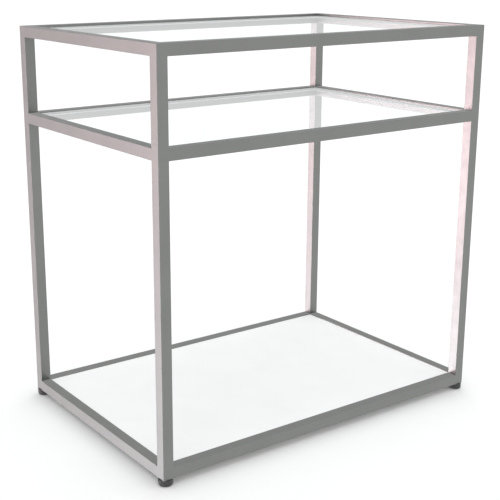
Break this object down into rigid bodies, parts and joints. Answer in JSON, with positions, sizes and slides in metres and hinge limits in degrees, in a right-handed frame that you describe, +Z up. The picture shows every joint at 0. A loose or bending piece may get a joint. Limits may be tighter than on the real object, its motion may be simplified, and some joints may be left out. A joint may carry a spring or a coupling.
{
  "type": "shop display counter",
  "caption": "Open frame counter of square metal tube with a clear glass top, a clear glass shelf, a white base board and round screw-in levelling feet.",
  "frame": {"origin": "on the floor, under the middle of the frame", "axes": "+Z up, +X to the right along the long side as seen from the front, and the front faces -Y"},
  "size_m": [0.907, 0.607, 0.915],
  "materials": {
    "frame_metal": "satin metallic grey powder coat, welds ground flush",
    "clear_glass": "clear, with ground and polished edges",
    "clear_seal": "translucent",
    "white_board": "white melamine facing, low sheen",
    "white_edging": "white edge band",
    "zinc_steel": "bright zinc plating",
    "black_pad": "matte moulded"
  },
  "bodies": {
    "frame": {"post_front_left": "frame_metal", "post_cap_front_left": "frame_metal", "post_front_right": "frame_metal", "post_cap_front_right": "frame_metal", "post_back_left": "frame_metal", "post_cap_back_left": "frame_metal", "post_back_right": "frame_metal", "post_cap_back_right": "frame_metal", "top_rail_front": "frame_metal", "top_rail_back": "frame_metal", "top_rail_left": "frame_metal", "top_rail_right": "frame_metal", "top_ledge_front": "frame_metal", "top_ledge_back": "frame_metal", "top_ledge_left": "frame_metal", "top_ledge_right": "frame_metal", "shelf_rail_front": "frame_metal", "shelf_rail_back": "frame_metal", "shelf_rail_left": "frame_metal", "shelf_rail_right": "frame_metal", "shelf_ledge_front": "frame_metal", "shelf_ledge_back": "frame_metal", "shelf_ledge_left": "frame_metal", "shelf_ledge_right": "frame_metal", "base_rail_front": "frame_metal", "base_rail_back": "frame_metal", "base_rail_left": "frame_metal", "base_rail_right": "frame_metal", "base_ledge_front": "frame_metal", "base_ledge_back": "frame_metal", "base_ledge_left": "frame_metal", "base_ledge_right": "frame_metal", "top_seal_front": "clear_seal", "top_seal_back": "clear_seal", "top_seal_left": "clear_seal", "top_seal_right": "clear_seal", "shelf_seal_front": "clear_seal", "shelf_seal_back": "clear_seal", "shelf_seal_left": "clear_seal", "shelf_seal_right": "clear_seal", "base_panel": "white_board", "panel_edge_front": "white_edging", "panel_edge_back": "white_edging", "panel_edge_left": "white_edging", "panel_edge_right": "white_edging", "panel_screws": "zinc_steel", "foot_inserts": "zinc_steel"},
    "glass_top": {"glass_top": "clear_glass"},
    "glass_shelf": {"glass_shelf": "clear_glass"},
    "foot_stud_front_left": {"foot_stud_front_left": "zinc_steel"},
    "foot_pad_front_left": {"foot_pad_front_left": "black_pad"},
    "foot_stud_front_right": {"foot_stud_front_right": "zinc_steel"},
    "foot_pad_front_right": {"foot_pad_front_right": "black_pad"},
    "foot_stud_back_left": {"foot_stud_back_left": "zinc_steel"},
    "foot_pad_back_left": {"foot_pad_back_left": "black_pad"},
    "foot_stud_back_right": {"foot_stud_back_right": "zinc_steel"},
    "foot_pad_back_right": {"foot_pad_back_right": "black_pad"}
  },
  "joints": [
    {"name": "glass_top_lift", "type": "slide", "parent": "frame", "child": "glass_top", "axis": [0, 0, 1], "range_m": [0, 0.06]},
    {"name": "glass_shelf_lift", "type": "slide", "parent": "frame", "child": "glass_shelf", "axis": [0, 0, 1], "range_m": [0, 0.05]},
    {"name": "foot_slide_front_left", "type": "slide", "parent": "frame", "child": "foot_stud_front_left", "axis": [0, 0, -1], "range_m": [0, 0.01125]},
    {"name": "foot_turn_front_left", "type": "hinge", "parent": "foot_stud_front_left", "child": "foot_pad_front_left", "pos_m": [-0.4375, -0.2875, 0.007], "axis": [0, 0, -1], "range_deg": [0, 3240]},
    {"name": "foot_slide_front_right", "type": "slide", "parent": "frame", "child": "foot_stud_front_right", "axis": [0, 0, -1], "range_m": [0, 0.01125]},
    {"name": "foot_turn_front_right", "type": "hinge", "parent": "foot_stud_front_right", "child": "foot_pad_front_right", "pos_m": [0.4375, -0.2875, 0.007], "axis": [0, 0, -1], "range_deg": [0, 3240]},
    {"name": "foot_slide_back_left", "type": "slide", "parent": "frame", "child": "foot_stud_back_left", "axis": [0, 0, -1], "range_m": [0, 0.01125]},
    {"name": "foot_turn_back_left", "type": "hinge", "parent": "foot_stud_back_left", "child": "foot_pad_back_left", "pos_m": [-0.4375, 0.2875, 0.007], "axis": [0, 0, -1], "range_deg": [0, 3240]},
    {"name": "foot_slide_back_right", "type": "slide", "parent": "frame", "child": "foot_stud_back_right", "axis": [0, 0, -1], "range_m": [0, 0.01125]},
    {"name": "foot_turn_back_right", "type": "hinge", "parent": "foot_stud_back_right", "child": "foot_pad_back_right", "pos_m": [0.4375, 0.2875, 0.007], "axis": [0, 0, -1], "range_deg": [0, 3240]}
  ],
  "couplings": [
    {"joint": "foot_slide_front_left", "follows": "foot_turn_front_left", "m_per_rad": 0.00019894},
    {"joint": "foot_slide_front_right", "follows": "foot_turn_front_right", "m_per_rad": 0.00019894},
    {"joint": "foot_slide_back_left", "follows": "foot_turn_back_left", "m_per_rad": 0.00019894},
    {"joint": "foot_slide_back_right", "follows": "foot_turn_back_right", "m_per_rad": 0.00019894}
  ]
}
